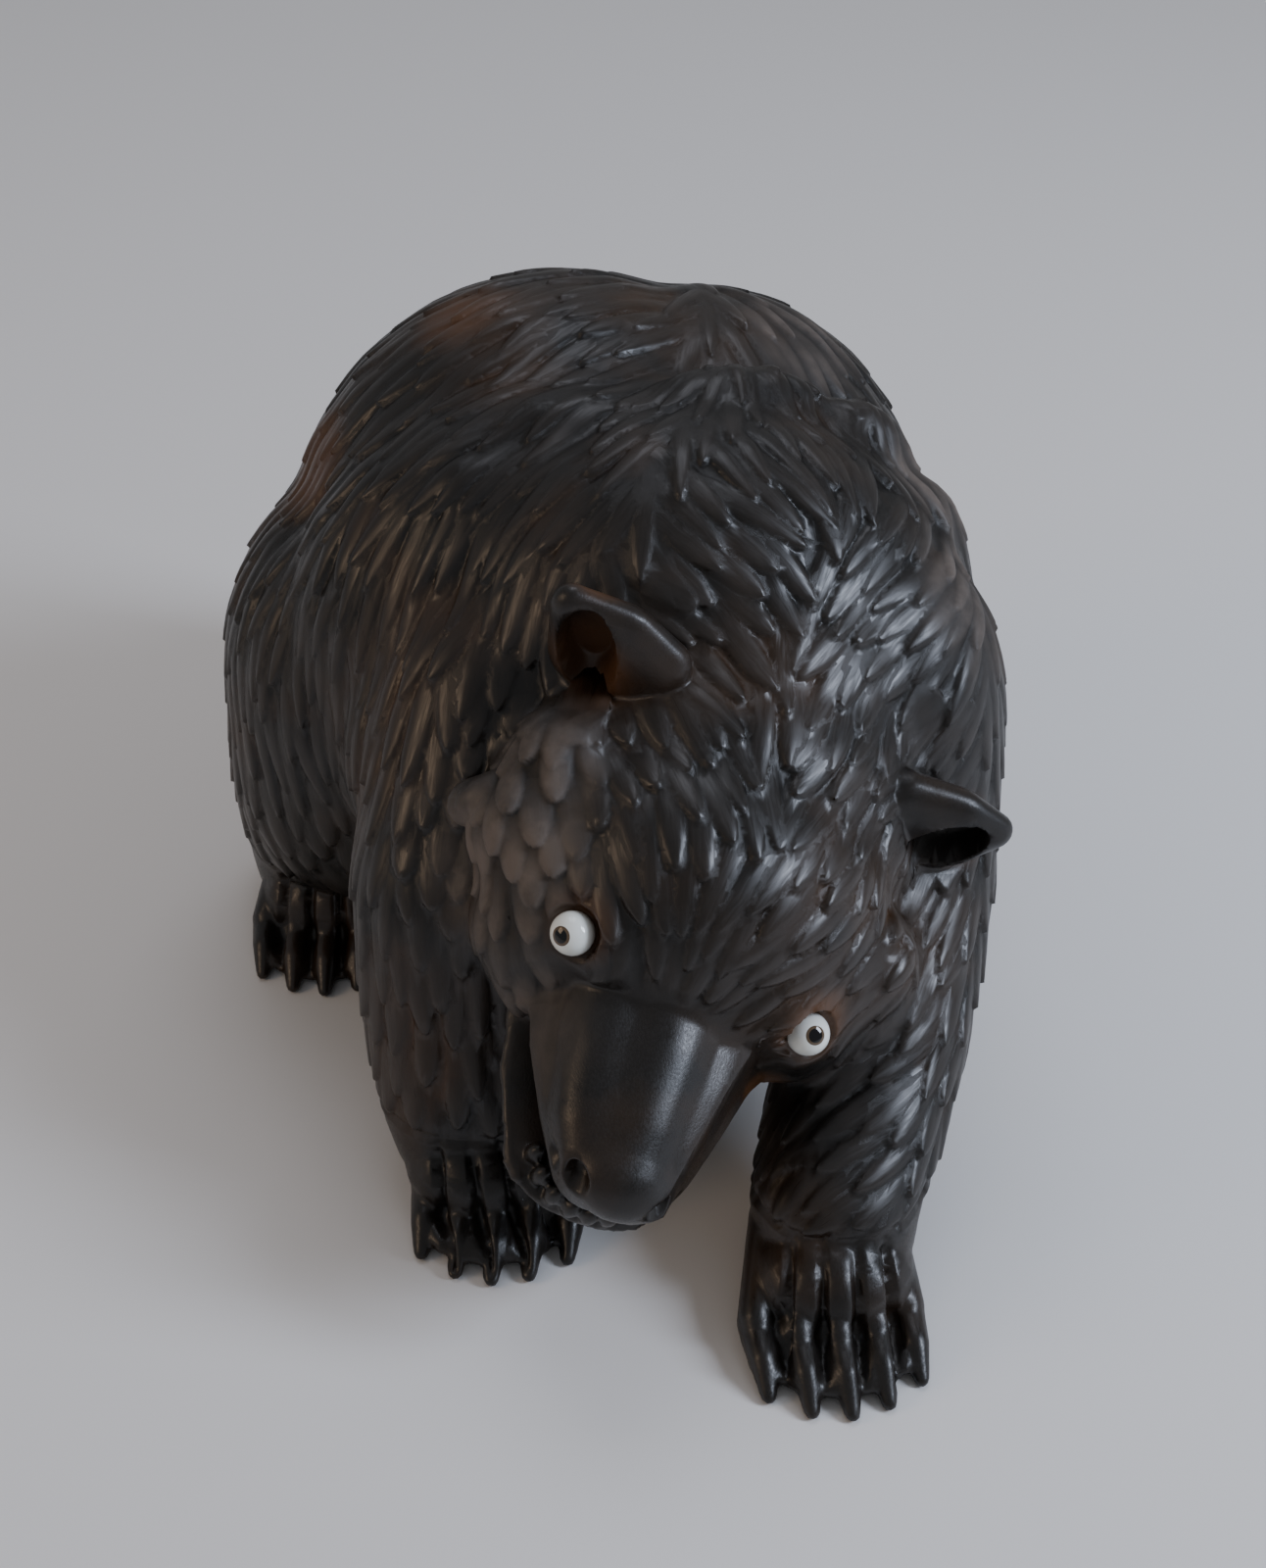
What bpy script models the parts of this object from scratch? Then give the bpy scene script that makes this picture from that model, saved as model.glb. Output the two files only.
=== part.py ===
"""A carved wooden bear on the walk, its head hung low and turned to its own right.

One block of dark-stained wood, with two glass beads for its eyes.
The bear faces -Y, its left is +X, and it stands on its four flat soles at z = 0.
"""
import math

import bmesh
import bpy
import numpy as np
from mathutils import Matrix, Vector
from mathutils.kdtree import KDTree

# Driving dimensions, in metres
BEAR_HEIGHT = 0.1072
EYE_DIAMETER = 0.006
EYE_SPACING = 0.035
EYE_SHOWING = 0.0034
SOCKET_CLEARANCE = 0.0003
MOUTH_GAPE = 0.0042
JAW_THICKNESS = 0.0038
EAR_WALL = 0.0017
NOSTRIL_DEPTH = 0.0022
CLAW_LENGTH = 0.0085
CLAW_WIDTH = 0.0048
TOE_GROOVE = 0.0014
SOLE_FLATNESS = 0.0004

# The gouge cuts of the fur
FUR_CUT_WIDTH = 0.0088
FUR_CUT_LENGTH = 0.021
FUR_CUT_DEPTH = 0.0015

# Fineness of the carving
BODY_TRIANGLES = 8900
BLEND_GRAIN = 0.0019
CARVING_GRAIN = 0.00115
EYE_SIDES = 12

# The figure is drawn 107.2 units tall, so that a unit is a millimetre at the height above
DRAWN_HEIGHT = 107.2
UNIT = BEAR_HEIGHT / DRAWN_HEIGHT
TOE_COUNT = 5

# Where the head is carried: the point midway between the eyes, and how it turns, nods and leans
HEAD_PLACE = Vector((3.5, -49.0, 50.6)) * UNIT
HEAD_TURN = math.radians(-18.0)
HEAD_NOD = math.radians(19.0)
HEAD_LEAN = math.radians(29.0)
HEAD = (
    Matrix.Translation(HEAD_PLACE)
    @ Matrix.Rotation(HEAD_TURN, 4, "Z")
    @ Matrix.Rotation(HEAD_NOD, 4, "X")
    @ Matrix.Rotation(HEAD_LEAN, 4, "Y")
)

# Round masses of the trunk: centre and radii, in units
TRUNK = (
    ((-7, 45, 60), (45, 41, 48)),
    ((13, 46, 61), (38.5, 38, 43.5)),
    ((-2, 66, 54), (34, 26, 34)),
    ((-5, 24, 61), (47, 34, 42)),
    ((-2, 6, 54), (42, 32, 32)),
    ((10, 8, 62), (43, 31, 42)),
    ((9, -12, 52), (33, 25, 30)),
    ((-3, 90, 66), (6, 5, 8)),
)

# The shoulder mantle stands a little proud of the ribs, and these balls are its edge
MANTLE = (
    ((34, 20, 90), (9, 6, 10)),
    ((16, 20, 99), (14, 6, 7)),
    ((-6, 18, 96), (14, 6, 8)),
    ((-22, 12, 84), (9, 7, 14)),
    ((-28, 4, 64), (9, 9, 20)),
    ((43, 14, 70), (9, 10, 20)),
)

# Neck, from the back of the skull up into the shoulders
NECK = (
    ((12, -17, 58), (25, 20, 22)),
    ((14, -8, 65), (28, 20, 25)),
    ((11, 2, 66), (35, 24, 32)),
)

# Legs from the trunk down to the wrist or the heel
LEGS = {
    "left fore": (
        ((35, 0, 60), (20, 21, 28)),
        ((38, -13, 38), (15, 15, 17)),
        ((33, -32, 26), (13.5, 15, 13)),
        ((24, -53, 13), (12.5, 12, 10)),
        ((24, -55, 8), (11.5, 12, 10)),
    ),
    "right fore": (
        ((-18, -1, 58), (21, 19, 26)),
        ((-25, -15, 42), (17.5, 17, 19)),
        ((-26.5, -21, 26), (15.5, 14.5, 14)),
        ((-26, -29, 13), (14, 12, 10)),
        ((-26, -31, 8), (12, 12, 10)),
    ),
    "left hind": (
        ((25, 46, 55), (27, 33, 36)),
        ((35, 52, 34), (19, 25, 26)),
        ((41, 62, 17), (14, 17, 15)),
        ((42, 63, 8), (12.5, 16, 10.5)),
    ),
    "right hind": (
        ((-33, 36, 49), (29.5, 33, 34)),
        ((-43, 36, 34), (20, 26, 26)),
        ((-48, 41, 18), (15, 18, 15)),
        ((-49, 41, 8), (13, 16, 10.5)),
    ),
}

# Paws: middle of the wrist, middle of the knuckles, half width, and the way they point
PAWS = {
    "left fore": ((23, -57, 8), (22, -71, 4.6), 11.5, 3.0),
    "right fore": ((-26, -32, 8), (-23.5, -43, 4.6), 11.5, -8.0),
    "left hind": ((42, 56, 8), (43, 41, 4.4), 11.5, 4.0),
    "right hind": ((-48, 34, 8), (-49, 22, 4.4), 11.5, -4.0),
}

# Masses of the head, on its own axes: left, back and up from the point between the eyes
HEAD_MASSES = (
    ((0, 18, 0), (25, 22, 18)),
    ((0, 34, -4), (29, 24, 24)),
    ((-16, 5, -9), (10, 9, 10)),
    ((16, 5, -7), (10, 9, 10)),
    ((-18, 14, -6), (13, 13, 13)),
    ((18, 14, -6), (13, 13, 13)),
    ((-13, 3, 0), (8, 8, 5.5)),
    ((13, 3, 0), (8, 8, 5.5)),
    ((0, 4, -4), (16, 12, 10)),
    ((0, 22, -14), (20, 18, 14)),
)
CHEEK_RUFFS = (
    ((27, 15, -3), (5, 8, 9)),
    ((-28, 16, -5), (6, 8, 9)),
    ((26, 22, -13), (7, 9, 9)),
    ((-26, 24, -14), (7, 9, 9)),
    ((15, 7, -13), (8, 8, 7)),
    ((-18.5, 6.5, -13), (10, 9.5, 9)),
    ((-19, 9, -6), (10, 9, 10)),
    ((-15.5, 1.5, -14.5), (8, 7, 7.5)),
    ((-25, 23, 1), (8, 9, 9)),
)
# The bridge of the muzzle, one side of it and of the lips, which are mirrored, the nose and the jaw
MUZZLE_BRIDGE = (
    ((0, 3, -5.2), (8.6, 9, 8.2)),
    ((0, -8, -6.6), (7.8, 9, 7.6)),
    ((0, -18, -8.6), (7.0, 8, 7.0)),
    ((0, -24, -10.0), (6.4, 6, 6.2)),
)
MUZZLE_SIDE = (
    ((5.0, 3, -6.5), (8.0, 9, 7.0)),
    ((4.8, -8, -8.0), (7.2, 9, 6.6)),
    ((4.0, -18, -9.8), (6.8, 8, 6.2)),
    ((2.4, -24, -11.0), (6.3, 6, 5.8)),
)
LIP_SIDE = (
    ((9.5, 3, -12.0), (9.5, 9, 6.5)),
    ((7.8, -8, -12.8), (8.2, 8, 5.6)),
    ((5.0, -17, -13.6), (7.2, 7, 5.2)),
    ((2.4, -23.5, -14.0), (6.4, 6, 4.8)),
)
NOSE = ((0, -24.8, -9.8), (7.4, 6.4, 6.0))
JAW_LINE = (
    ((0, 13, -18), (17.0, 10, 5)),
    ((0, 1, -20.8), (17.0, 7, 2.6)),
    ((0, -10, -22.4), (14.5, 7, 2.3)),
    ((0, -20.5, -24.0), (10.6, 6.4, 2.1)),
)

# The right ear and the left: stations from the head out to the tip, and two pressings of the cup
EARS = (
    (
        (((-20, 34.5, 12), (5, 4.2, 8)), ((-27, 35, 13), (8, 4.2, 9.5)), ((-35, 34.5, 19), (2.6, 2.4, 3.2))),
        ((-31.5, 30.8, 17), (-28.5, 30.8, 10)),
    ),
    (
        (((20, 33.5, 10), (5, 4.2, 7)), ((27, 34, 9), (8, 4.2, 8.8)), ((34, 34.5, 12.5), (2.6, 2.4, 3.2))),
        ((30, 29.8, 12), (28, 29.8, 7)),
    ),
)
EAR_THICKNESS = 8.4

# Strokes of the gouge: a point on the coat and the way that the cuts run there, towards the snout
STROKES = (
    ((4, -50, 58), (-0.25, -0.80, -0.20)),
    ((-10, -40, 64), (0.10, -0.70, -0.55)),
    ((18, -44, 60), (-0.55, -0.60, -0.30)),
    ((-20, -38, 52), (-0.10, -0.60, -0.75)),
    ((30, -42, 44), (-0.35, -0.45, -0.75)),
    ((8, -36, 82), (0.45, -0.60, -0.60)),
    ((34, -34, 78), (-0.55, -0.50, -0.60)),
    ((10, -20, 102), (0.55, -0.75, -0.30)),
    ((38, -14, 92), (-0.35, -0.70, -0.60)),
    ((-14, -16, 92), (0.15, -0.70, -0.75)),
    ((-34, -14, 64), (-0.10, -0.35, -0.95)),
    ((52, -8, 60), (0.05, -0.35, -0.95)),
    ((-34, -26, 34), (-0.10, -0.30, -0.95)),
    ((42, -34, 36), (-0.15, -0.40, -0.90)),
    ((0, 20, 106), (-0.10, -0.95, 0.00)),
    ((-36, 16, 88), (-0.45, -0.55, -0.65)),
    ((36, 20, 88), (0.35, -0.65, -0.65)),
    ((-52, 20, 60), (-0.10, -0.50, -0.85)),
    ((46, 24, 56), (0.10, -0.50, -0.85)),
    ((0, 60, 102), (0.00, -0.95, 0.30)),
    ((-44, 50, 70), (-0.25, -0.35, -0.90)),
    ((38, 54, 70), (0.25, -0.30, -0.90)),
    ((-5, 88, 60), (0.00, 0.00, -1.00)),
    ((-54, 40, 26), (0.00, -0.30, -0.95)),
    ((52, 58, 26), (0.00, -0.30, -0.95)),
    ((0, 20, 22), (0.00, -1.00, 0.00)),
)


def material(name, colour, roughness, coat):
    """A plain finish: its colour, its roughness and a clear coat over it."""
    finish = bpy.data.materials.new(name)
    finish.use_nodes = True
    shader = finish.node_tree.nodes["Principled BSDF"]
    shader.inputs["Base Color"].default_value = (*colour, 1.0)
    shader.inputs["Roughness"].default_value = roughness
    shader.inputs["Coat Weight"].default_value = coat
    finish.diffuse_color = (*colour, 1.0)
    return finish


def ball(masses, centre, radii, frame=Matrix()):
    """Notes one round mass, with its centre and radii in units, on the axes of a frame."""
    place = frame @ Matrix.Translation(Vector(centre) * UNIT)
    masses.append(place @ Matrix.Diagonal((*(Vector(radii) * UNIT), 1.0)))


def limb(masses, stations, frame=Matrix()):
    """Sweeps a round mass through its stations, close enough to read as one smooth limb."""
    for (start, start_radii), (end, end_radii) in zip(stations, stations[1:]):
        start, end = Vector(start), Vector(end)
        start_radii, end_radii = Vector(start_radii), Vector(end_radii)
        pitch = 0.4 * min(*start_radii, *end_radii)
        steps = max(2, math.ceil((end - start).length / pitch))
        for step in range(steps + 1):
            share = step / steps
            ball(masses, start.lerp(end, share), start_radii.lerp(end_radii, share), frame)


def model_masses(masses, skin=None):
    """One mesh of the noted round masses, together with a skin that is already there."""
    shape = bmesh.new()
    if skin:
        shape.from_mesh(skin)
    unit = bmesh.new()
    bmesh.ops.create_uvsphere(unit, u_segments=16, v_segments=10, radius=1.0)
    template = bpy.data.meshes.new("round")
    unit.to_mesh(template)
    unit.free()
    for place in masses:
        mass = template.copy()
        mass.transform(place)
        shape.from_mesh(mass)
        bpy.data.meshes.remove(mass)
    bpy.data.meshes.remove(template)
    return shape


def head_point(left, back, up):
    """A point on the head's own axes, in units, as a place in the bear's frame."""
    return HEAD @ (Vector((left, back, up)) * UNIT)


def as_object(name, shape):
    """Turns a bmesh into an object in the scene and frees the bmesh."""
    mesh = bpy.data.meshes.new(name)
    shape.to_mesh(mesh)
    shape.free()
    thing = bpy.data.objects.new(name, mesh)
    bpy.context.scene.collection.objects.link(thing)
    return thing


def settle(thing):
    """Bakes an object's modifiers into its mesh."""
    graph = bpy.context.evaluated_depsgraph_get()
    mesh = bpy.data.meshes.new_from_object(thing.evaluated_get(graph))
    thing.modifiers.clear()
    thing.data = mesh


def remesh(thing, grain, smoothing):
    """Fuses overlapping masses into one skin of even grain, and softens their joins."""
    skin = thing.modifiers.new("skin", "REMESH")
    skin.mode = "VOXEL"
    skin.voxel_size = grain
    soften = thing.modifiers.new("soften", "SMOOTH")
    soften.factor = 0.5
    soften.iterations = smoothing
    settle(thing)


def trunk_and_limbs():
    """The bear without its ears, jaw and toes, smoothed where the masses meet."""
    masses = []
    for centre, radii in TRUNK + MANTLE:
        ball(masses, centre, radii)
    limb(masses, NECK)
    for leg in LEGS.values():
        limb(masses, leg)
    for centre, radii in HEAD_MASSES + CHEEK_RUFFS:
        ball(masses, centre, radii, HEAD)
    thing = as_object("carved_bear", model_masses(masses))
    remesh(thing, BLEND_GRAIN * UNIT / 0.001, 9)
    return thing


def paw(masses, wrist, knuckles, half_width, heading):
    """Five toes side by side on one sole, a groove between each two, each with a curved claw."""
    wrist, knuckles = Vector(wrist) * UNIT, Vector(knuckles) * UNIT
    turn = Matrix.Rotation(math.radians(heading), 3, "Z")
    ahead = turn @ Vector((0, -1, 0))
    aside = turn @ Vector((1, 0, 0))
    toe_radius = half_width * UNIT / (TOE_COUNT - 1) - TOE_GROOVE / 4
    for toe in range(TOE_COUNT):
        offset = 2 * toe / (TOE_COUNT - 1) - 1
        lag = -ahead * (4.5 * UNIT * offset * offset)
        root = wrist + aside * (0.72 * half_width * UNIT * offset) + lag + Vector((0, 0, 1.5 * UNIT))
        knuckle = knuckles + aside * (0.92 * half_width * UNIT * offset) + lag
        knuckle.z -= 0.8 * UNIT * offset * offset
        tip_start = knuckle + ahead * (1.5 * UNIT) - Vector((0, 0, 0.8 * UNIT))
        tip = tip_start + ahead * CLAW_LENGTH
        tip.z = 0.9 * UNIT
        swell = toe_radius / UNIT
        claw = CLAW_WIDTH / 2 / UNIT
        limb(masses, (
            (root / UNIT, (swell, swell * 1.2, swell * 1.5)),
            (knuckle / UNIT, (swell, swell * 1.2, swell * 1.35)),
            (tip_start / UNIT, (swell * 0.85, swell, swell)),
            (tip_start / UNIT + ahead * 4 - Vector((0, 0, 1)), (swell * 0.75, swell * 0.8, swell * 0.8)),
        ))
        arch = tip_start.lerp(tip, 0.5) + Vector((0, 0, 0.9 * UNIT))
        limb(masses, (
            (tip_start / UNIT, (claw * 1.05, claw * 1.2, claw * 1.25)),
            (arch / UNIT, (claw * 0.85, claw, claw)),
            (tip / UNIT, (claw * 0.5, claw * 0.7, claw * 0.45)),
        ))
    ball(masses, (wrist * 0.7 + knuckles * 0.3) / UNIT, (half_width, 0.9 * half_width, 8.0))
    ball(masses, knuckles / UNIT + ahead - Vector((0, 0, 2.4)), (0.95 * half_width, 7.5, 3.2))


def fine_parts(bear):
    """Adds the muzzle, jaw, ears, toes and claws, then fuses them with the bear."""
    masses = []
    for name in PAWS:
        paw(masses, *PAWS[name])
    for side in (-1, 1):
        for run in (MUZZLE_SIDE, LIP_SIDE):
            limb(masses, [((side * x, y, z), radii) for (x, y, z), radii in run], HEAD)
    limb(masses, MUZZLE_BRIDGE, HEAD)
    ball(masses, *NOSE, HEAD)
    drop = (MOUTH_GAPE - 0.0042) / UNIT
    thickness = JAW_THICKNESS / 0.0038
    jaw = [((x, y, z - drop), (rx, ry, rz * thickness)) for (x, y, z), (rx, ry, rz) in JAW_LINE]
    limb(masses, jaw, HEAD)
    for stations, _ in EARS:
        limb(masses, stations, HEAD)
    shape = model_masses(masses, bear.data)
    shape.to_mesh(bear.data)
    shape.free()
    remesh(bear, CARVING_GRAIN * UNIT / 0.001, 2)


def hollow(points, normals, centre, radii, depth):
    """Presses a soft hollow into the points near a centre on the head's axes."""
    local = to_head(points)
    reach = np.linalg.norm((local - np.array(centre)) / np.array(radii), axis=1)
    press = np.clip(1 - reach * reach, 0, 1)
    points -= normals * (depth * press)[:, None]


def to_head(points):
    """Points in the bear's frame, in metres, as places on the head's own axes, in units."""
    back = np.array(HEAD.inverted())
    return (points @ back[:3, :3].T + back[:3, 3]) / UNIT


def coat_share(points):
    """How much of the fur is cut at each point: none on the muzzle, the ears and the paws."""
    local = to_head(points)
    muzzle = np.linalg.norm((local - np.array((0, -14, -12))) / np.array((16, 20, 16)), axis=1)
    share = np.clip((muzzle - 1) * 4, 0, 1)
    for stations, _ in EARS:
        ear = np.linalg.norm((local - np.array(stations[1][0])) / np.array((12, 8, 13)), axis=1)
        share = np.minimum(share, np.clip((ear - 0.95) * 4, 0.1, 1))
    height = points[:, 2] / UNIT
    share = np.minimum(share, np.clip((height - 13) / 6, 0, 1))
    return share


def flow(points, normals):
    """The way the gouge ran at each point, blended from the strokes nearby and laid in the skin."""
    places = np.array([place for place, _ in STROKES]) * UNIT
    ways = np.array([way for _, way in STROKES])
    ways = ways / np.linalg.norm(ways, axis=1)[:, None]
    gap = np.linalg.norm(points[:, None, :] - places[None], axis=2)
    weight = 1 / (gap / UNIT + 4) ** 4
    way = weight @ ways
    way -= normals * (way * normals).sum(1)[:, None]
    return way / np.maximum(np.linalg.norm(way, axis=1), 1e-9)[:, None]


def spread_seeds(points, spacing, dice):
    """Picks points of the skin at least a spacing apart, one for each cut."""
    order = dice.permutation(len(points))
    cells = {}
    seeds = []
    for index in order:
        place = points[index]
        cell = tuple(np.floor(place / spacing).astype(int))
        near = (
            (cell[0] + i, cell[1] + j, cell[2] + k)
            for i in (-1, 0, 1) for j in (-1, 0, 1) for k in (-1, 0, 1)
        )
        taken = (seed for key in near for seed in cells.get(key, ()))
        if all(np.dot(place - points[seed], place - points[seed]) >= spacing ** 2 for seed in taken):
            cells.setdefault(cell, []).append(index)
            seeds.append(index)
    return np.array(seeds)


def carve_fur(points, normals):
    """Cuts the coat: each point goes down to the deepest of the scoops that pass over it."""
    dice = np.random.default_rng(11)
    seeds = spread_seeds(points, 0.82 * FUR_CUT_WIDTH, dice)
    ways = flow(points[seeds], normals[seeds])
    sides = np.cross(normals[seeds], ways)
    tree = KDTree(len(seeds))
    for number, seed in enumerate(seeds):
        tree.insert(points[seed], number)
    tree.balance()
    near = np.array([[found[1] for found in tree.find_n(point, 7)] for point in points])
    offset = points[:, None, :] - points[seeds][near]
    along = (offset * ways[near]).sum(2)
    across = (offset * sides[near]).sum(2)
    reach = np.where(along > 0, 0.34, 0.66) * FUR_CUT_LENGTH
    bowl = (along / reach) ** 2 + (across / (0.62 * FUR_CUT_WIDTH)) ** 2
    depth = FUR_CUT_DEPTH * np.clip(1 - bowl, 0, 1).max(1)
    points -= normals * (depth * coat_share(points))[:, None]


def vertex_normals(mesh):
    """The normals of a mesh's points."""
    normals = np.empty(len(mesh.vertices) * 3)
    mesh.vertices.foreach_get("normal", normals)
    return normals.reshape(-1, 3)


def carve(bear):
    """Works the eyes' hollows, nostrils, ears and fur into the skin."""
    mesh = bear.data
    points = np.empty(len(mesh.vertices) * 3)
    mesh.vertices.foreach_get("co", points)
    points = points.reshape(-1, 3)
    normals = vertex_normals(mesh)
    half = EYE_SPACING / 2 / UNIT
    ear_depth = EAR_THICKNESS * UNIT - EAR_WALL
    for side, (_, cups) in zip((-1, 1), EARS):
        hollow(points, normals, (side * half, -1, 0.5), (6, 6, 5), 0.0007)
        hollow(points, normals, (side * 7.0, -29, -9.5), (2.8, 4.5, 2.4), NOSTRIL_DEPTH)
        for cup in cups:
            hollow(points, normals, cup, (4.6, 5.0, 6.0), 0.6 * ear_depth)
    carve_fur(points, normals)
    points[:, 2] = np.maximum(points[:, 2], 0)
    mesh.vertices.foreach_set("co", points.ravel())
    mesh.update()


def thin_out(bear):
    """Reduces the skin to flat facets, which stay closest where the carving turns most."""
    bear.data.calc_loop_triangles()
    thin = bear.modifiers.new("thin", "DECIMATE")
    thin.ratio = BODY_TRIANGLES / len(bear.data.loop_triangles)
    thin.use_collapse_triangulate = True
    settle(bear)
    for vertex in bear.data.vertices:
        if vertex.co.z < SOLE_FLATNESS:
            vertex.co.z = 0


def stand_on_origin(bear):
    """Moves the bear so that its soles are at z = 0 and it is centred over the origin."""
    places = np.array([vertex.co for vertex in bear.data.vertices])
    low, high = Vector(places.min(axis=0)), Vector(places.max(axis=0))
    shift = Vector((-(low.x + high.x) / 2, -(low.y + high.y) / 2, -low.z))
    bear.data.transform(Matrix.Translation(shift))
    return shift


def cut_away(bear, cutter):
    """Cuts a closed shape out of the bear and keeps the cutter hidden."""
    cutter.hide_render = True
    cutter.display_type = "WIRE"
    cut = bear.modifiers.new(cutter.name, "BOOLEAN")
    cut.operation = "DIFFERENCE"
    cut.solver = "EXACT"
    cut.object = cutter


def eye_place(side):
    """The middle of an eye bead, sunk so that the set share of it shows."""
    half = EYE_SPACING / 2 / UNIT
    sink = (EYE_SHOWING - EYE_DIAMETER / 2) / UNIT
    return head_point(side * (half + 0.35 * sink), -0.6 * sink, 0.6 * sink)


def bead(name, centre, radius):
    """A round bead with its middle at a centre."""
    shape = bmesh.new()
    place = Matrix.Translation(centre)
    bmesh.ops.create_uvsphere(
        shape, u_segments=EYE_SIDES, v_segments=EYE_SIDES // 2 + 2, radius=radius, matrix=place
    )
    return as_object(name, shape)


def build():
    for thing in list(bpy.data.objects):
        bpy.data.objects.remove(thing, do_unlink=True)

    bear = trunk_and_limbs()
    fine_parts(bear)
    carve(bear)
    thin_out(bear)

    shift = stand_on_origin(bear)

    stain = material("ebonised_wood", (0.012, 0.010, 0.009), 0.38, 0.25)
    bear.data.materials.clear()
    bear.data.materials.append(stain)
    glass = material("white_glass", (0.78, 0.79, 0.76), 0.08, 0.5)
    for name, side in (("right_eye", -1), ("left_eye", 1)):
        radius = EYE_DIAMETER / 2
        centre = eye_place(side) + shift
        cut_away(bear, bead(name + "_socket", centre, radius + SOCKET_CLEARANCE))
        eye = bead(name, centre, radius)
        eye.data.materials.append(glass)
        eye.data.shade_smooth()


build()
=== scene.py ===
import math

import bmesh
import bpy
import numpy as np
from mathutils import Matrix, Vector
from mathutils.kdtree import KDTree


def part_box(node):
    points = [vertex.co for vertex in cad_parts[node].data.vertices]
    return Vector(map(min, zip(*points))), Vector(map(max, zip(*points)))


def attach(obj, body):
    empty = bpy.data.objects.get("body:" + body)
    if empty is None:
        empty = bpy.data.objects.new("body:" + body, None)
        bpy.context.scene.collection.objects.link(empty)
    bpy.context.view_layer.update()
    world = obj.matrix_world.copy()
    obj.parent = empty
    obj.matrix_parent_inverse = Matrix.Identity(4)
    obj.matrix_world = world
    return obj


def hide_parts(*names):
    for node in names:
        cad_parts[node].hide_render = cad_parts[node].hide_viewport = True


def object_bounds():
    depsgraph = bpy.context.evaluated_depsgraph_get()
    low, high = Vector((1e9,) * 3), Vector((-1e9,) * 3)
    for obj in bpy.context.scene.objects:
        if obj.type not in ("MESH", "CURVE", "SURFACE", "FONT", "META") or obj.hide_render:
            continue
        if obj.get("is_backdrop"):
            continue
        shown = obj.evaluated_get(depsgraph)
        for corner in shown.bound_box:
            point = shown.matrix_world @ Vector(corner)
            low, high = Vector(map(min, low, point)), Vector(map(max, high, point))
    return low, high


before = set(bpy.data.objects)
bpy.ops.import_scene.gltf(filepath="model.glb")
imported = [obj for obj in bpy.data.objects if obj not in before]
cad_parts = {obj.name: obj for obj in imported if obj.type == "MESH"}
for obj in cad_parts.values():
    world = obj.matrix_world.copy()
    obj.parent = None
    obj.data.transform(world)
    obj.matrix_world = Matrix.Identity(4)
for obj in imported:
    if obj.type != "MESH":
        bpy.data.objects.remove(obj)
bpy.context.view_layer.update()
MM = 0.001


# The camera
# A phone held about a foot in front of the bear and above it, looking down at its face. The bear is
# drawn in millimetres on its own axes, and is set on the row's frame by the beads of its eyes.
between_eyes = sum((corner for eye in ("right_eye", "left_eye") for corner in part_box(eye)), Vector()) / 4
HEAD_SETS = Vector((3.5, -49.0, 50.6)) * MM
HEAD_TURN = math.radians(-18.0)
HEAD_NOD = math.radians(19.0)
HEAD_LEAN = math.radians(29.0)
EYE_PROUD = 0.4
EYE_SLANT = Vector((0, -0.6, 0.6))
turned, nodding = Matrix.Rotation(HEAD_TURN, 4, "Z"), Matrix.Rotation(HEAD_NOD, 4, "X")
head_axes = turned @ nodding @ Matrix.Rotation(HEAD_LEAN, 4, "Y")
drawn_to_row = between_eyes - head_axes @ (EYE_SLANT * EYE_PROUD * MM) - HEAD_SETS

CAMERA_FROM_BEAR = Vector((-24.8, -283.9, 255.0)) * MM
CAMERA_BEARING = math.radians(5.0)
CAMERA_DOWN = math.radians(36.0)
LENS = 54.0
SENSOR = 36.0

camera_data = bpy.data.cameras.new("camera")
camera_data.lens = LENS
camera_data.sensor_width = SENSOR
camera_data.clip_start = 0.01
camera = bpy.data.objects.new("camera", camera_data)
bpy.context.scene.collection.objects.link(camera)
camera.location = CAMERA_FROM_BEAR + drawn_to_row
looking = Vector((
    math.sin(CAMERA_BEARING) * math.cos(CAMERA_DOWN),
    math.cos(CAMERA_BEARING) * math.cos(CAMERA_DOWN),
    -math.sin(CAMERA_DOWN),
))
camera.rotation_euler = looking.to_track_quat("-Z", "Y").to_euler()
bpy.context.scene.camera = camera


# The floor and the light
# A pale matt table, a tall soft window to the bear's left and a little before it, a dim ceiling
# light behind it and above, and a weaker warm glow from its right.
def linear(hex_colour):
    """An sRGB hex colour as linear red, green, blue and alpha."""
    parts = [int(hex_colour[at:at + 2], 16) / 255 for at in (0, 2, 4)]
    return [p / 12.92 if p <= 0.04045 else ((p + 0.055) / 1.055) ** 2.4 for p in parts] + [1.0]


def add_node(tree, kind, settings=None, values=None, links=None):
    """Adds one node, with its settings, its socket values and what feeds its sockets."""
    node = tree.nodes.new(kind)
    for key, value in (settings or {}).items():
        setattr(node, key, value)
    for key, value in (values or {}).items():
        node.inputs[key].default_value = value
    for key, source in (links or {}).items():
        tree.links.new(source, node.inputs[key])
    return node


def new_material(name):
    """An empty node material: its tree and its Principled shader."""
    made = bpy.data.materials.new(name)
    made.use_nodes = True
    return made, made.node_tree, made.node_tree.nodes["Principled BSDF"]


FLOOR_HALF = 3.0
floor_shape = bmesh.new()
bmesh.ops.create_grid(floor_shape, x_segments=1, y_segments=1, size=FLOOR_HALF)
floor_mesh = bpy.data.meshes.new("floor")
floor_shape.to_mesh(floor_mesh)
floor_shape.free()
floor = bpy.data.objects.new("floor", floor_mesh)
bpy.context.scene.collection.objects.link(floor)
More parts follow.
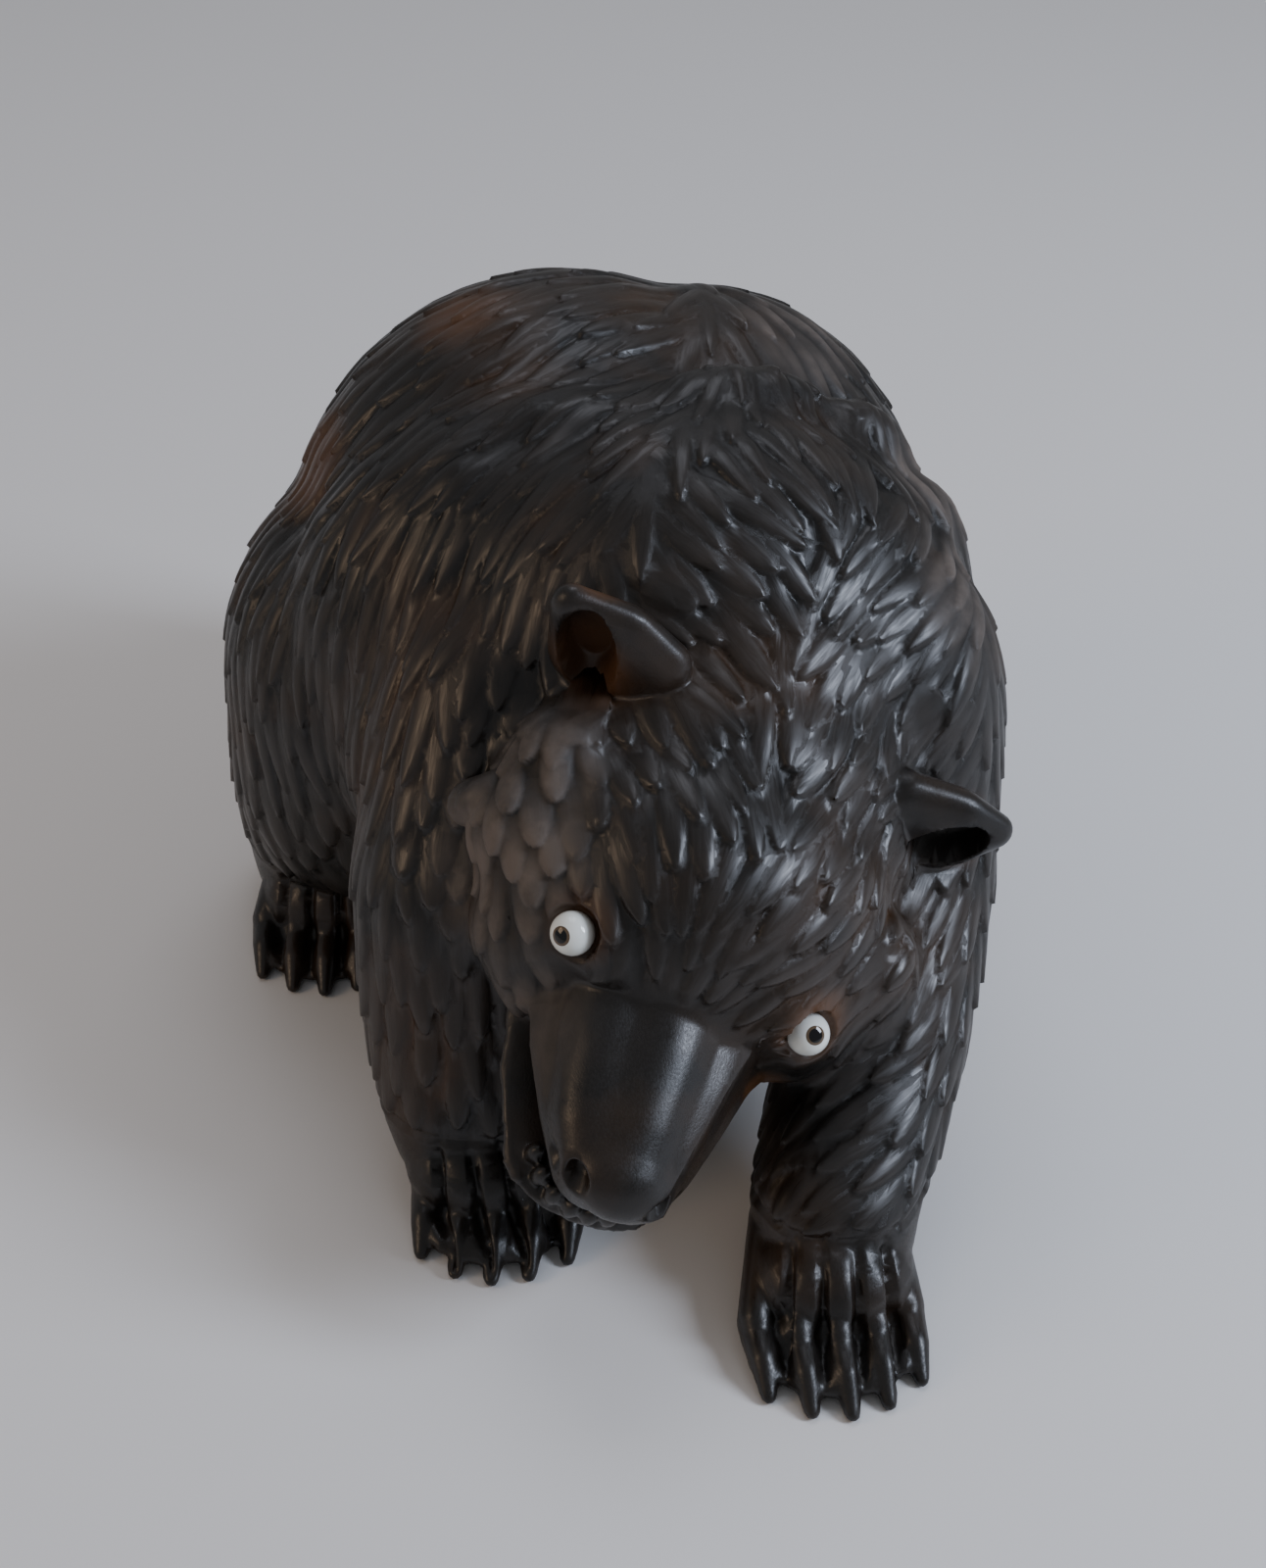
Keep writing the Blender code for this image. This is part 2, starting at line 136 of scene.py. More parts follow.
# Painted board, matt, which takes the bear's soft shadow and hardly shines
table_paint, _, table_shader = new_material("pale_table_paint")
table_shader.inputs["Base Color"].default_value = linear("e4e2e0")
table_shader.inputs["Roughness"].default_value = 0.55
floor_mesh.materials.append(table_paint)
floor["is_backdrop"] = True

# Each light's place and size in metres, its power in watts and its tint
BEAR_MIDDLE = Vector((0, 0, 0.05))
ROOM_LIGHT = 0.34
SOFTBOXES = (
    ("window", (0.63, -0.26, 0.48), (0.17, 0.40), 5.7, "e0ebff"),
    ("ceiling", (0.05, 0.35, 0.95), (0.50, 0.50), 1.8, "eef2ff"),
    ("lamp_glow", (-0.70, -0.15, 0.40), (0.30, 0.30), 1.1, "ffdcb8"),
)
for name, place, (width, tall), power, tint in SOFTBOXES:
    light = bpy.data.lights.new(name, "AREA")
    light.shape = "RECTANGLE"
    light.size = width
    light.size_y = tall
    light.energy = power
    light.color = linear(tint)[:3]
    softbox = bpy.data.objects.new(name, light)
    bpy.context.scene.collection.objects.link(softbox)
    softbox.location = place
    aim = BEAR_MIDDLE - Vector(place)
    softbox.rotation_euler = aim.to_track_quat("-Z", "Y").to_euler()
world = bpy.data.worlds.new("room")
bpy.context.scene.world = world
world.use_nodes = True
world.node_tree.nodes["Background"].inputs["Color"].default_value = linear("e9ebf0")
world.node_tree.nodes["Background"].inputs["Strength"].default_value = ROOM_LIGHT


# The carved bear, roughed out
# One block of hardwood, sawn and rounded to its masses before any fur is cut.
# Places and radii are in millimetres: the trunk in the bear's own frame, the head on its own axes.
bear_frame = Matrix.Translation(drawn_to_row) @ Matrix.Scale(MM, 4)
head_frame = Matrix.Translation(drawn_to_row + HEAD_SETS) @ head_axes @ Matrix.Scale(MM, 4)

TRUNK = (
    ((-7, 45, 60), (45, 41, 48)),
    ((13, 46, 61), (38.5, 38, 43.5)),
    ((-2, 66, 54), (34, 26, 34)),
    ((-5, 24, 61), (47, 34, 42)),
    ((-2, 6, 54), (42, 32, 32)),
    ((10, 8, 62), (43, 31, 42)),
    ((9, -12, 52), (33, 25, 30)),
    ((-3, 90, 66), (6, 5, 8)),
)
MANTLE = (
    ((34, 20, 90), (9, 6, 10)),
    ((16, 20, 99), (14, 6, 7)),
    ((-6, 18, 96), (14, 6, 8)),
    ((-22, 12, 84), (9, 7, 14)),
    ((-28, 4, 64), (9, 9, 20)),
    ((43, 14, 70), (9, 10, 20)),
)
NECK = (
    ((12, -17, 58), (25, 20, 22)),
    ((14, -8, 65), (28, 20, 25)),
    ((11, 2, 66), (35, 24, 32)),
)
LEGS = {
    "left fore": (
        ((35, 0, 60), (20, 21, 28)),
        ((38, -13, 38), (15, 15, 17)),
        ((33, -32, 26), (13.5, 15, 13)),
        ((24, -53, 13), (12.5, 12, 10)),
        ((24, -55, 8), (11.5, 12, 10)),
    ),
    "right fore": (
        ((-18, -1, 58), (21, 19, 26)),
        ((-25, -15, 42), (17.5, 17, 19)),
        ((-26.5, -21, 26), (15.5, 14.5, 14)),
        ((-26, -29, 13), (14, 12, 10)),
        ((-26, -31, 8), (12, 12, 10)),
    ),
    "left hind": (
        ((25, 46, 55), (27, 33, 36)),
        ((35, 52, 34), (19, 25, 26)),
        ((41, 62, 17), (14, 17, 15)),
        ((42, 63, 8), (12.5, 16, 10.5)),
    ),
    "right hind": (
        ((-33, 36, 49), (29.5, 33, 34)),
        ((-43, 36, 34), (20, 26, 26)),
        ((-48, 41, 18), (15, 18, 15)),
        ((-49, 41, 8), (13, 16, 10.5)),
    ),
}
HEAD_MASSES = (
    ((0, 18, 0), (25, 22, 18)),
    ((0, 34, -4), (29, 24, 24)),
    ((-16, 5, -9), (10, 9, 10)),
    ((16, 5, -7), (10, 9, 10)),
    ((-18, 14, -6), (13, 13, 13)),
    ((18, 14, -6), (13, 13, 13)),
    ((-13, 3, 0), (8, 8, 5.5)),
    ((13, 3, 0), (8, 8, 5.5)),
    ((0, 4, -4), (16, 12, 10)),
    ((0, 22, -14), (20, 18, 14)),
    ((27, 15, -3), (5, 8, 9)),
    ((-28, 16, -5), (6, 8, 9)),
    ((26, 22, -13), (7, 9, 9)),
    ((-26, 24, -14), (7, 9, 9)),
    ((15, 7, -13), (8, 8, 7)),
    ((-18.5, 6.5, -13), (10, 9.5, 9)),
    ((-19, 9, -6), (10, 9, 10)),
    ((-15.5, 1.5, -14.5), (8, 7, 7.5)),
    ((-25, 23, 1), (8, 9, 9)),
)
ROUGH_GRAIN = 1.9
ROUGH_SMOOTHING = 9
# How close the masses of a limb stand, as a share of their smallest radius
LIMB_PITCH = 0.3


def ball(masses, centre, radii, place):
    """Notes one round mass, by its centre and radii on a frame."""
    masses.append(place @ Matrix.Translation(centre) @ Matrix.Diagonal((*radii, 1.0)))


def limb(masses, stations, place):
    """Sweeps a round mass through its stations, close enough to read as one smooth limb."""
    for (start, start_radii), (end, end_radii) in zip(stations, stations[1:]):
        start, end = Vector(start), Vector(end)
        start_radii, end_radii = Vector(start_radii), Vector(end_radii)
        pitch = LIMB_PITCH * min(*start_radii, *end_radii)
        steps = max(2, math.ceil((end - start).length / pitch))
        for step in range(steps + 1):
            share = step / steps
            ball(masses, start.lerp(end, share), start_radii.lerp(end_radii, share), place)


def model(masses, skin=None):
    """One mesh of the noted masses, together with a skin that is already there."""
    unit = bmesh.new()
    bmesh.ops.create_uvsphere(unit, u_segments=20, v_segments=12, radius=1.0)
    template = bpy.data.meshes.new("mass")
    unit.to_mesh(template)
    unit.free()
    shape = bmesh.new()
    if skin:
        shape.from_mesh(skin)
    for place in masses:
        mass = template.copy()
        mass.transform(place)
        shape.from_mesh(mass)
        bpy.data.meshes.remove(mass)
    made = bpy.data.meshes.new("masses")
    shape.to_mesh(made)
    shape.free()
    bpy.data.meshes.remove(template)
    return made


def settle(thing):
    """Bakes an object's modifiers into its mesh."""
    graph = bpy.context.evaluated_depsgraph_get()
    mesh = bpy.data.meshes.new_from_object(thing.evaluated_get(graph))
    thing.modifiers.clear()
    thing.data = mesh


def fuse(thing, grain, smoothing):
    """Fuses overlapping masses into one skin of even grain, and softens their joins."""
    skin = thing.modifiers.new("skin", "REMESH")
    skin.mode = "VOXEL"
    skin.voxel_size = grain * MM
    soften = thing.modifiers.new("soften", "SMOOTH")
    soften.factor = 0.5
    soften.iterations = smoothing
    settle(thing)


masses = []
for centre, radii in TRUNK + MANTLE:
    ball(masses, centre, radii, bear_frame)
limb(masses, NECK, bear_frame)
for leg in LEGS.values():
    limb(masses, leg, bear_frame)
for centre, radii in HEAD_MASSES:
    ball(masses, centre, radii, head_frame)
bear = bpy.data.objects.new("bear_carving", model(masses))
bpy.context.scene.collection.objects.link(bear)
fuse(bear, ROUGH_GRAIN, ROUGH_SMOOTHING)

# The muzzle, lips, jaw, ears, toes and claws
# Pared from the same block with knives, so they keep crisper edges than the rest of the wood.
MUZZLE_BRIDGE = (
    ((0, 3, -5.2), (8.6, 9, 8.2)),
    ((0, -8, -6.6), (7.8, 9, 7.6)),
    ((0, -18, -8.6), (7.0, 8, 7.0)),
    ((0, -24, -10.0), (6.4, 6, 6.2)),
)
MUZZLE_SIDE = (
    ((5.6, 3, -6.5), (9.0, 9, 7.0)),
    ((5.6, -8, -8.0), (8.2, 9, 6.6)),
    ((4.0, -18, -9.8), (7.6, 8, 6.2)),
    ((2.4, -24, -11.0), (6.6, 6, 5.6)),
)
LIP_SIDE = (
    ((9.5, 3, -12.0), (9.5, 9, 6.5)),
    ((7.8, -8, -12.8), (8.2, 8, 5.2)),
    ((5.0, -17, -13.0), (7.2, 7, 4.6)),
    ((2.4, -23.5, -13.4), (6.4, 6, 4.2)),
)
NOSE = ((0, -24.8, -9.8), (7.4, 6.4, 6.0))
JAW_LINE = (
    ((0, 13, -18), (18.0, 10, 5)),
    ((0, 1, -20.8), (18.4, 7, 2.4)),
    ((0, -10, -23.2), (15.8, 7, 1.9)),
    ((0, -20.0, -25.4), (11.8, 6.4, 1.6)),
)
TONGUE = (
    ((0, 0, -19.5), (9.0, 8, 3.0)),
    ((0, -12, -21.2), (7.5, 7, 2.4)),
    ((0, -20, -22.6), (5.5, 5, 2.0)),
)
TOOTH_RADII = (1.3, 1.3, 2.2)
JAW_TEETH = (
    (-8.2, -20.5), (-6.6, -23.2), (-4.2, -25.2), (-1.4, -26.0),
    (1.4, -26.0), (4.2, -25.2), (6.6, -23.2),
)
TOOTH_ROOT = -22.6
EARS = (
    (((-20, 34.5, 12), (5, 4.2, 8)), ((-27, 35, 13), (8, 4.2, 9.5)), ((-35, 34.5, 19), (2.6, 2.4, 3.2))),
    (((20, 33.5, 10), (5, 4.2, 7)), ((27, 34, 9), (8, 4.2, 8.8)), ((34, 34.5, 12.5), (2.6, 2.4, 3.2))),
)
CHEEK_TUFT = (((-24, 21, -2), (7, 5, 8)), ((-34, 17.0, -7), (2.4, 2.6, 3.6)))
# Each paw's wrist and knuckles, half its width, and its heading in degrees
PAWS = {
    "left fore": ((23, -57, 8), (22, -71, 4.6), 11.5, 3.0),
    "right fore": ((-26, -32, 8), (-23.5, -43, 4.6), 11.5, -8.0),
    "left hind": ((42, 56, 8), (43, 41, 4.4), 11.5, 4.0),
    "right hind": ((-48, 34, 8), (-49, 22, 4.4), 11.5, -4.0),
}
TOE_COUNT = 5
TOE_GROOVE = 0.8
# How far the outer toes set back, and how far the toes spread at their roots and at the knuckles
TOE_LAG = 4.5
ROOT_SPREAD = 0.72
KNUCKLE_SPREAD = 0.92
CLAW_LENGTH = 8.5
CLAW_WIDTH = 4.8
CLAW_TIP_HEIGHT = 0.9
CLAW_ARCH = 0.9
FINE_GRAIN = 0.43
FINE_SMOOTHING = 3

masses = []
for side in (-1, 1):
    for run in (MUZZLE_SIDE, LIP_SIDE):
        limb(masses, [((side * x, y, z), radii) for (x, y, z), radii in run], head_frame)
ball(masses, *NOSE, head_frame)
for run in (MUZZLE_BRIDGE, JAW_LINE, TONGUE, CHEEK_TUFT, *EARS):
    limb(masses, run, head_frame)
for x, y in JAW_TEETH:
    ball(masses, (x, y, TOOTH_ROOT), TOOTH_RADII, head_frame)
for wrist, knuckles, half_width, heading in PAWS.values():
    wrist, knuckles = Vector(wrist), Vector(knuckles)
    turn = Matrix.Rotation(math.radians(heading), 3, "Z")
    ahead, aside = turn @ Vector((0, -1, 0)), turn @ Vector((1, 0, 0))
    swell = half_width / (TOE_COUNT - 1) - TOE_GROOVE / 4
    claw = CLAW_WIDTH / 2
    for toe in range(TOE_COUNT):
        offset = 2 * toe / (TOE_COUNT - 1) - 1
        lag = -ahead * (TOE_LAG * offset * offset)
        root = wrist + aside * (ROOT_SPREAD * half_width * offset) + lag + Vector((0, 0, 1.5))
        drop = Vector((0, 0, 0.8 * offset ** 2))
        knuckle = knuckles + aside * (KNUCKLE_SPREAD * half_width * offset) + lag - drop
        tip_start = knuckle + ahead * 1.5 - Vector((0, 0, 0.8))
        tip = tip_start + ahead * CLAW_LENGTH
        tip.z = CLAW_TIP_HEIGHT
        arch = tip_start.lerp(tip, 0.5) + Vector((0, 0, CLAW_ARCH))
        limb(masses, (
            (root, (swell, swell * 1.2, swell * 1.5)),
            (knuckle, (swell, swell * 1.2, swell * 1.35)),
            (tip_start, (swell * 0.85, swell, swell)),
            (tip_start + ahead * 4.0 - Vector((0, 0, 1.0)), (swell * 0.75, swell * 0.8, swell * 0.8)),
        ), bear_frame)
        limb(masses, (
            (tip_start, (claw * 1.05, claw * 1.2, claw * 1.25)),
            (arch, (claw * 0.85, claw, claw)),
            (tip, (claw * 0.5, claw * 0.7, claw * 0.45)),
        ), bear_frame)
    ball(masses, wrist * 0.7 + knuckles * 0.3, (half_width, 0.9 * half_width, 8.0), bear_frame)
    ball(masses, knuckles + ahead - Vector((0, 0, 2.4)), (0.95 * half_width, 7.5, 3.2), bear_frame)
bear.data = model(masses, bear.data)
fuse(bear, FINE_GRAIN, FINE_SMOOTHING)


# The coat
# Cut lock by lock with a gouge. Each lock is a long rounded petal that rises towards its tip and
# stops short over the next ones, as shingles do, with a sharp dark crease all round it.
def mesh_array(mesh, what):
    """A mesh's points or their normals, as an array."""
    values = np.empty(len(mesh.vertices) * 3, np.float32)
    mesh.vertices.foreach_get(what, values)
    return values.reshape(-1, 3).astype(float)


def on_frame(points, place):
    """Points of the row's frame as places on another frame, in millimetres."""
    back = np.array(place.inverted())
    return points @ back[:3, :3].T + back[:3, 3]


def blob(local, centre, radii):
    """One at a centre, falling evenly to nought at the radii round it."""
    reach = np.linalg.norm((local - np.array(centre)) / np.array(radii), axis=1)
    return np.clip(1 - reach, 0, 1)


def ease(values):
    """Softens a share between nought and one at both its ends."""
    values = np.clip(values, 0, 1)
    return values * values * (3 - 2 * values)


# The bridge of the muzzle is scraped smooth, up into the brow
BROW_SCRAPE = ((0, 2, 0), (15, 10, 9))
BRIDGE_SCRAPE = ((0, -14, -5), (10, 20, 8))
SCRAPE_ROUNDS = 60
scraped = bear.vertex_groups.new(name="scraped")
local = on_frame(mesh_array(bear.data, "co"), head_frame)
bridge = np.maximum(blob(local, *BROW_SCRAPE), blob(local, *BRIDGE_SCRAPE))
for index in np.flatnonzero(bridge > 0):
    scraped.add([int(index)], float(ease(bridge[index] * 2.5)), "REPLACE")
scrape = bear.modifiers.new("scrape", "SMOOTH")
scrape.factor = 0.5
scrape.iterations = SCRAPE_ROUNDS
scrape.vertex_group = "scraped"
settle(bear)
bear.vertex_groups.clear()


# A place on the coat, in the bear's frame, and the way that the gouge was pushed there
STROKES = (
    ((4, -50, 58), (-0.25, -0.80, -0.20)),
    ((-4, -44, 66), (0.10, -0.70, -0.55)),
    ((-12, -42, 60), (0.00, -0.70, -0.60)),
    ((14, -46, 63), (-0.60, -0.70, -0.20)),
    ((22, -48, 54), (-0.85, -0.45, -0.15)),
    ((-22, -38, 52), (-0.20, -0.60, -0.75)),
    ((-18, -28, 70), (-0.15, -0.70, -0.65)),
    ((30, -42, 46), (-0.80, -0.45, -0.35)),
    ((36, -34, 58), (-0.82, -0.40, -0.40)),
    ((2, -32, 77), (0.40, -0.65, -0.60)),
    ((10, -36, 75), (0.25, -0.70, -0.65)),
    ((24, -36, 72), (-0.80, -0.35, -0.45)),
    ((4, -18, 90), (0.80, -0.40, -0.40)),
    ((14, -8, 97), (0.78, -0.45, -0.35)),
    ((34, -16, 87), (-0.86, -0.30, -0.40)),
    ((42, -4, 84), (-0.78, -0.35, -0.50)),
    ((-6, 0, 98), (-0.75, -0.40, -0.35)),
    ((-16, -10, 87), (-0.35, -0.55, -0.75)),
    ((-26, -4, 78), (-0.35, -0.35, -0.85)),
    ((-36, -8, 60), (-0.05, -0.35, -0.95)),
    ((-38, -18, 44), (0.00, -0.30, -0.95)),
    ((-24, -34, 36), (0.05, -0.35, -0.95)),
    ((54, -4, 62), (0.05, -0.20, -0.97)),
    ((50, -14, 46), (-0.45, -0.50, -0.74)),
    ((40, -36, 34), (-0.72, -0.35, -0.60)),
    ((24, -46, 28), (-0.78, -0.25, -0.55)),
    ((30, -54, 20), (-0.80, -0.20, -0.45)),
    ((0, 22, 104), (-0.80, -0.58, -0.05)),
    ((0, 45, 107), (-0.88, -0.45, -0.05)),
    ((-24, 20, 98), (-0.85, -0.20, -0.50)),
    ((-32, 42, 94), (-0.80, -0.10, -0.60)),
    ((-46, 22, 76), (-0.45, -0.20, -0.88)),
    ((-50, 44, 70), (-0.30, -0.15, -0.94)),
    ((-52, 16, 56), (-0.05, -0.30, -0.95)),
    ((-60, 34, 44), (0.05, -0.25, -0.97)),
    ((-50, 20, 26), (0.05, -0.35, -0.93)),
    ((28, 24, 102), (0.35, -0.75, -0.35)),
    ((28, 48, 102), (0.50, -0.70, -0.35)),
    ((46, 24, 84), (0.45, -0.30, -0.85)),
    ((46, 48, 80), (0.50, -0.05, -0.86)),
    ((50, 24, 54), (0.10, -0.30, -0.95)),
    ((52, 52, 44), (0.05, -0.20, -0.98)),
    ((-4, 74, 92), (-0.10, 0.55, -0.80)),
    ((-26, 74, 74), (-0.35, 0.25, -0.90)),
    ((24, 74, 74), (0.35, 0.25, -0.90)),
    ((-3, 88, 50), (0.00, 0.00, -1.00)),
    ((0, 20, 20), (0.00, -1.00, 0.00)),
    ((8, -38, 32), (0.00, -0.60, -0.80)),
)

# Wood with no locks counts as this far up a lock, for its stain and for its dust and painted highlight
UNCUT_CREST = 0.65
# Width, length and height of a lock, in millimetres
HEAD_LOCK = (4.0, 16.0, 1.12)
TRUNK_LOCK = (3.5, 22.0, 1.00)
CHEEK_LOCK = (5.0, 10.0, 1.25)
LEG_LOCK = (5.0, 13.0, 1.25)
BROW_LOCK = (3.2, 13.0, 1.40)
# Where the head's kinds of lock grow: middle and reach on its axes, and how soon they take over
HEAD_COAT = ((0, 14, 4), (62, 62, 62), 3.2)
CHEEK_COAT = ((-27, 16, -8), (22, 26, 24), 2.5)
BROW_COAT = ((0, 4, 4), (22, 13, 13), 2.5)
LEG_TOP = 44
# What stays bare of locks: the muzzle, the paws up to a height, and the ears with a little round them
BARE_MUZZLE = ((0, -14, -12), (17, 18.5, 15.5))
PAW_TOP = 13
EAR_CLEAR = 1.2
# How many places are tried for a lock, how far apart locks stand as shares of their length and width,
# where along a lock its place is, and how many locks can lie over one point
LOCK_TRIES = 42000
GAP_ALONG = 0.46
GAP_ACROSS = 0.74
SEED_ALONG = 0.6
NEAREST_LOCKS = 14
# How far a stroke wanders, in degrees, and the shares by which locks differ in size
STROKE_WANDER = 5
SMALLEST_LOCK = (0.9, 0.85, 0.85)
LARGEST_LOCK = (1.18, 1.2, 1.15)
# How high a lock starts at its root and where along it the tip narrows, as shares of its own size
ROOT_HEIGHT = 0.12
TIP_START = 0.6
# How far the skin sinks under the locks, and the height that counts as a full crest, in millimetres
SKIN_SINK = 0.38
FULL_CREST = 0.8


def coat_flow(points, normals):
    """The way the gouge ran at each point, blended from the strokes nearby and laid in the skin."""
    drawn = on_frame(points, bear_frame)
    places = np.array([place for place, _ in STROKES], float)
    ways = np.array([way for _, way in STROKES])
    ways /= np.linalg.norm(ways, axis=1)[:, None]
    gap = np.linalg.norm(drawn[:, None, :] - places[None], axis=2)
    way = (1 / (gap + 3) ** 4) @ ways
    way -= normals * (way * normals).sum(1)[:, None]
    return way / np.maximum(np.linalg.norm(way, axis=1), 1e-9)[:, None]


def lock_sizes(points):
    """Width, length and height of the locks at each point, in millimetres."""
    drawn, local = on_frame(points, bear_frame), on_frame(points, head_frame)
    sizes = np.repeat(np.array([TRUNK_LOCK]), len(points), axis=0)
    head, cheek, brow = (
        ease(blob(local, middle, reach) * growth)
        for middle, reach, growth in (HEAD_COAT, CHEEK_COAT, BROW_COAT)
    )
    leg = ease((LEG_TOP - drawn[:, 2]) / 12)
    for share, lock in ((leg, LEG_LOCK), (head, HEAD_LOCK), (cheek, CHEEK_LOCK), (brow, BROW_LOCK)):
        sizes += share[:, None] * (np.array([lock]) - sizes)
    return sizes


def coat_share(points):
    """How deep the coat is cut at each point: not at all on the muzzle, the ears and the paws."""
    drawn, local = on_frame(points, bear_frame), on_frame(points, head_frame)
    middle, reach = (np.array(values) for values in BARE_MUZZLE)
    muzzle = np.linalg.norm((local - middle) / reach, axis=1)
    share = ease((muzzle - 1) * 4.5)
    for stations in EARS:
        for (start, start_radii), (end, end_radii), part in (
            (stations[0], stations[1], 0.6), (stations[0], stations[1], 1.0),
            (stations[1], stations[2], 0.4), (stations[1], stations[2], 0.8),
        ):
            middle = np.array(start) + part * (np.array(end) - np.array(start))
            reach = np.array(start_radii) + part * (np.array(end_radii) - np.array(start_radii))
            from_ear = np.linalg.norm((local - middle) / (reach + EAR_CLEAR), axis=1)
            share = np.minimum(share, ease((from_ear - 0.95) * 5))
    return np.minimum(share, ease((drawn[:, 2] - PAW_TOP) / 3))


# Places are kept where no other lock is too near
dice = np.random.default_rng(7)
points, normals = mesh_array(bear.data, "co"), mesh_array(bear.data, "normal")
tries = dice.permutation(len(points))[:LOCK_TRIES]
flow, sizes = coat_flow(points[tries], normals[tries]), lock_sizes(points[tries])
across_flow = np.cross(normals[tries], flow)
kept = np.empty(len(tries), int)
places = np.empty((len(tries), 3))
count = 0
for number, index in enumerate(tries):
    offset = places[:count] - points[index]
    along = offset @ flow[number] / (GAP_ALONG * sizes[number, 1] * MM)
    across = offset @ across_flow[number] / (GAP_ACROSS * sizes[number, 0] * MM)
    away = offset @ normals[index] / (GAP_ACROSS * sizes[number, 0] * MM)
    if count == 0 or (along ** 2 + across ** 2 + away ** 2).min() > 1:
        places[count] = points[index]
        kept[count] = number
        count += 1
kept, places = kept[:count], places[:count]
wander = np.radians(dice.normal(0, STROKE_WANDER, count))[:, None]
ways = flow[kept] * np.cos(wander) + across_flow[kept] * np.sin(wander)
sides = across_flow[kept] * np.cos(wander) - flow[kept] * np.sin(wander)
locks = sizes[kept] * dice.uniform(SMALLEST_LOCK, LARGEST_LOCK, (count, 3)) * MM

# At each point of the skin the lock that stands highest there shows
tree = KDTree(count)
for number, place in enumerate(places):
    tree.insert(place, number)
tree.balance()
near = np.array([[found[1] for found in tree.find_n(point, NEAREST_LOCKS)] for point in points])
offset = points[:, None, :] - places[near]
along = (offset * ways[near]).sum(2) / locks[near, 1] + SEED_ALONG
across = (offset * sides[near]).sum(2)
tip = np.clip(along - TIP_START, 0, 1) / (1 - TIP_START)
taper = np.sqrt(np.clip(1 - tip ** 2, 1e-4, 1)) * (0.7 + 0.3 * ease(along * 3))
off_middle = np.abs(across) / (0.5 * locks[near, 0] * taper)
inside = (along > 0) & (along < 1) & (off_middle < 1)
rise = (ROOT_HEIGHT + (1 - ROOT_HEIGHT) * along) * np.sqrt(np.clip(1 - off_middle ** 2.4, 0, 1))
height = np.where(inside, rise * locks[near, 2], 0)
top = height.argmax(1)
row = np.arange(len(points))
share = coat_share(points)
lock_height = height[row, top]
crest = np.clip(lock_height / (FULL_CREST * MM), 0, 1) * share + UNCUT_CREST * (1 - share)
# A point's place along and across its lock, with the lock's number to set its gouge lines apart
along_lock = along[row, top] * locks[near, 1][row, top]
on_lock = np.stack((along_lock, across[row, top], 0.01 * near[row, top]), axis=1)
points += normals * ((lock_height - SKIN_SINK * MM) * share)[:, None]


# The face
# Pared flat along the muzzle, then hollowed with small knives for the nostrils and the ear cups, and
# drilled for the eyes. Places are on the head's axes, in millimetres.

# How far the muzzle reaches, and how much of it the knife takes off at most
MUZZLE_MIDDLE = (0, -14, -10)
MUZZLE_REACH = 24
MUZZLE_BACK = -2
LIP_LINE = -18.5
PARED_MOST = 5
# A nostril and the slit beside it, on the left: place, radii, depth, way in and lean in degrees
NOSTRIL = ((6.6, -29.8, -8.6), (2.6, 4.2, 2.4), 2.6, (-0.3, 1, -0.2), 0)
NOSTRIL_SLIT = ((9.4, -27.0, -11.8), (1.8, 4.5, 2.2), 1.3, (-0.7, 0.7, 0), 25)
# An ear cup's middle, half its width and height, its lean in degrees and the lip before it
EAR_CUP_DEPTH = 6.2
EAR_CUPS = (
    ((-29.8, 30.2, 14.0), 5.0, 9.8, -25, 2.5),
    ((28.8, 29.6, 9.5), 5.0, 7.5, 30, 2.5),
)
EYE_MIDDLE = np.array((17.64, -0.24, 0.24))
EYE_AXIS = np.array((0.35, -0.65, 0.65))
SOCKET_RADIUS = 3.5
SOCKET_RIM = 0.8
SOCKET_FLOOR = -0.3
# Where the black has worn through to brown wood, on the head and on the body, and how far round
HEAD_WEAR = (
    ((-17.5, 0, 2), 6.5), ((17.5, 0, 2), 7.0), ((17.5, -3.5, -12), 4.5),
    ((1.5, -30.5, -13.5), 2.6), ((-33, 38, 21), 5.0), ((-28, 33, 12), 8.0),
)
BODY_WEAR = (
    ((-20, 44, 100), 11), ((-44, 40, 82), 12), ((-52, 34, 62), 9),
    ((44, -20, 52), 7), ((27, -50, 17), 5),
)
# Where dust has settled into the wax on the head, and where dust and a painted highlight lie on the
# tops of the body, and how far round
HEAD_DUST = (((-26, 9, -6), 17), ((-28, 20, 2), 12), ((-16, -10, -12), 12), ((24, 6, -14), 9))
BODY_DUST_AND_HIGHLIGHT = (((48, -4, 80), 14), ((46, 18, 88), 14), ((30, 42, 100), 13))
# How steeply a spot fades towards its edge
SPOT_FADE = 1.8
# Three corners of each flat on the muzzle, on the right and on the left
MUZZLE_PLANES = (
    ((-12.6, -4, -2.5), (-10.6, -24, -8.5), (-16.8, -8, -14.0)),
    ((11.8, -4, -2.8), (8.0, -24, -9.4), (15.4, -8, -14.0)),
)
local = on_frame(points, head_frame)


def leaning(centre, lean):
    """How far each point is across, behind and above a centre, on axes that lean by some degrees."""
    turn = math.radians(lean)
    offset = local - np.array(centre)
    x = offset[:, 0] * math.cos(turn) - offset[:, 2] * math.sin(turn)
    z = offset[:, 0] * math.sin(turn) + offset[:, 2] * math.cos(turn)
    return x, offset[:, 1], z


def press(centre, radii, depth, way, lean):
    """Presses a soft hollow of a depth into the head along a way."""
    x, y, z = leaning(centre, lean)
    reach = np.sqrt((x / radii[0]) ** 2 + (y / radii[1]) ** 2 + (z / radii[2]) ** 2)
    local[:] += np.array(way, float) * (ease((1 - reach) * 1.8) * depth)[:, None]


